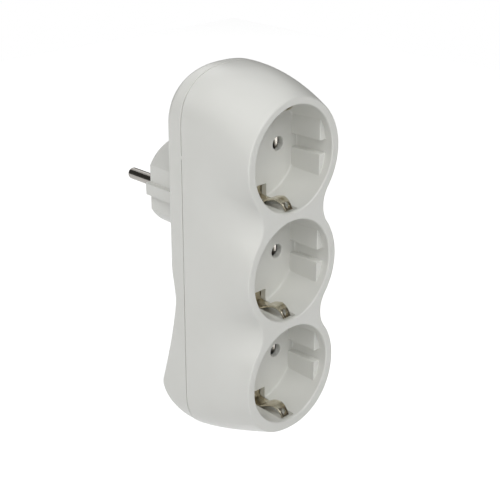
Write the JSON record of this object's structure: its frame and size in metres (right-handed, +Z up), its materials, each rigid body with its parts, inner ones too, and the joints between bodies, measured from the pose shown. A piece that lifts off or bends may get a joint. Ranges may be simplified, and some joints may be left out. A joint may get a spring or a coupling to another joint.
{
  "type": "triple socket adapter",
  "caption": "Plug-in adapter with a column of round recessed earthed sockets on a three-lobed moulded body, and an earthed round plug on its back.",
  "frame": {"origin": "centre of the plug's flat end face, midway between its two pins", "axes": "+Y along the pins into the wall, +Z up along the column of sockets, +X to the right seen from the front"},
  "size_m": [0.0504, 0.0835, 0.1512],
  "materials": {
    "housing_plastic": "satin moulded thermoplastic, warm off-white",
    "nickel": "nickel-plated, bright",
    "brass": "plain stamped brass",
    "tinned_brass": "plated spring brass, smooth",
    "screw_steel": "zinc-plated"
  },
  "bodies": {
    "root": {"front_housing": "housing_plastic", "rear_cover": "housing_plastic", "plug_pin_left": "nickel", "plug_pin_right": "nickel", "contact_rail_left": "brass", "contact_rail_right": "brass", "contact_clip_left_top": "brass", "contact_clip_left_middle": "brass", "contact_clip_left_bottom": "brass", "contact_clip_right_top": "brass", "contact_clip_right_middle": "brass", "contact_clip_right_bottom": "brass", "earth_bracket_top": "tinned_brass", "earth_bracket_middle": "tinned_brass", "earth_bracket_bottom": "tinned_brass", "earth_rail": "brass", "plug_earth_strip_upper": "tinned_brass", "plug_earth_strip_lower": "tinned_brass", "housing_screw_top_left": "screw_steel", "housing_screw_top_right": "screw_steel", "housing_screw_lower_left": "screw_steel", "housing_screw_lower_right": "screw_steel"}
  },
  "joints": []
}
